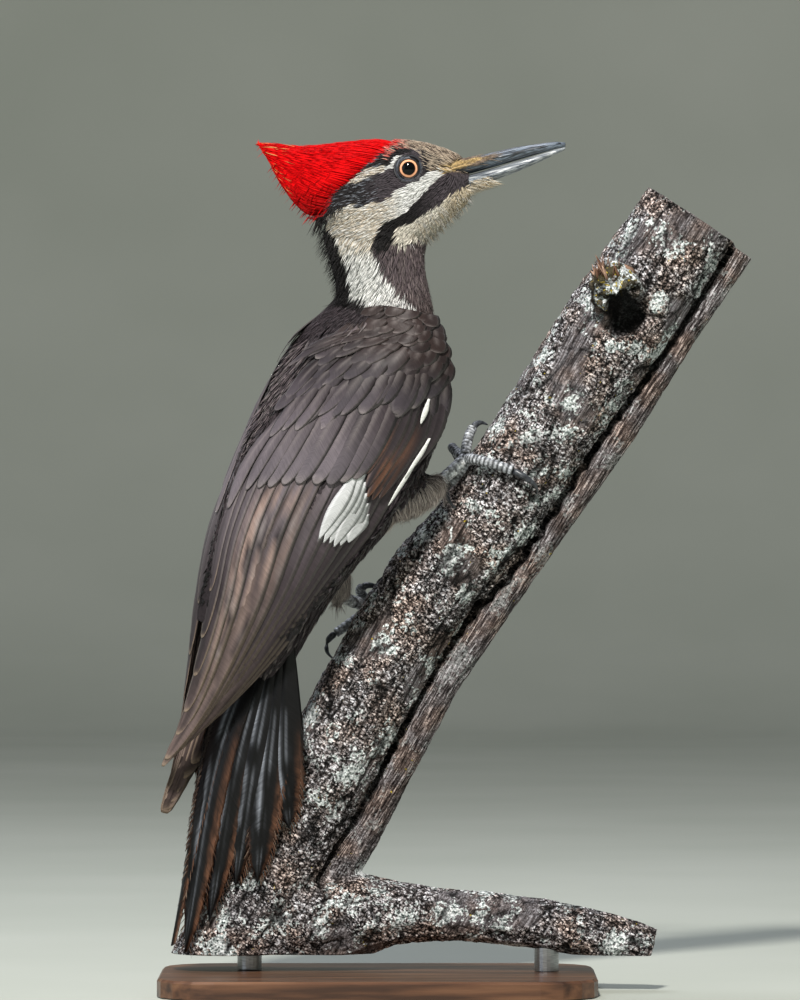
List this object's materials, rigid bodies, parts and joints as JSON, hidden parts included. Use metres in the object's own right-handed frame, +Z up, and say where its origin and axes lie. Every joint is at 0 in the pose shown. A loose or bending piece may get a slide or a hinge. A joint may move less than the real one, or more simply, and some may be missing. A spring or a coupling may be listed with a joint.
{
  "type": "pileated woodpecker",
  "caption": "Life-size crested woodpecker clinging upright to a cut length of dead limb, propped on its stiff tail, held by a small display stand.",
  "frame": {"origin": "centre of the underside of the stand's flat base", "axes": "+Z up, +X the way the bird faces, -Y the side of the bird that the picture shows"},
  "size_m": [0.2676, 0.1296, 0.381],
  "materials": {
    "plumage_black": "dull brownish-black feathers with worn brown edges, a small white wing patch and a rusty band",
    "face_pattern": "fine plumage: white throat and stripes, grey-black ear stripe and malar stripe, buff nose tufts",
    "crest_red": "silky bright red crest feathers",
    "bill_horn": "blue-grey horn, satin, paler lower half",
    "eye": "wet black pupil with a thin pale yellow iris",
    "foot_scale": "grey scaled skin",
    "claw_horn": "dark grey horn, polished at the tips",
    "bark": "weathered, fissured dead wood with crusts of pale lichen",
    "stand_wood": "dark stained, satin",
    "stand_steel": "satin"
  },
  "bodies": {
    "root": {"bill_lower": "bill_horn", "bill_upper": "bill_horn", "claw_left_hind": "claw_horn", "claw_left_inner": "claw_horn", "claw_left_outer": "claw_horn", "claw_left_upper": "claw_horn", "claw_right_hind": "claw_horn", "claw_right_inner": "claw_horn", "claw_right_outer": "claw_horn", "claw_right_upper": "claw_horn", "crest": "crest_red", "eye_left": "eye", "eye_right": "eye", "foot_left": "foot_scale", "foot_right": "foot_scale", "head": "face_pattern", "neck": "face_pattern", "perch": "bark", "stand_base": "stand_wood", "stand_rod_foot": "stand_steel", "stand_rod_twig": "stand_steel", "tail": "plumage_black", "thigh_left": "plumage_black", "thigh_right": "plumage_black", "trunk": "plumage_black", "wing_left": "plumage_black", "wing_right": "plumage_black"}
  },
  "joints": []
}
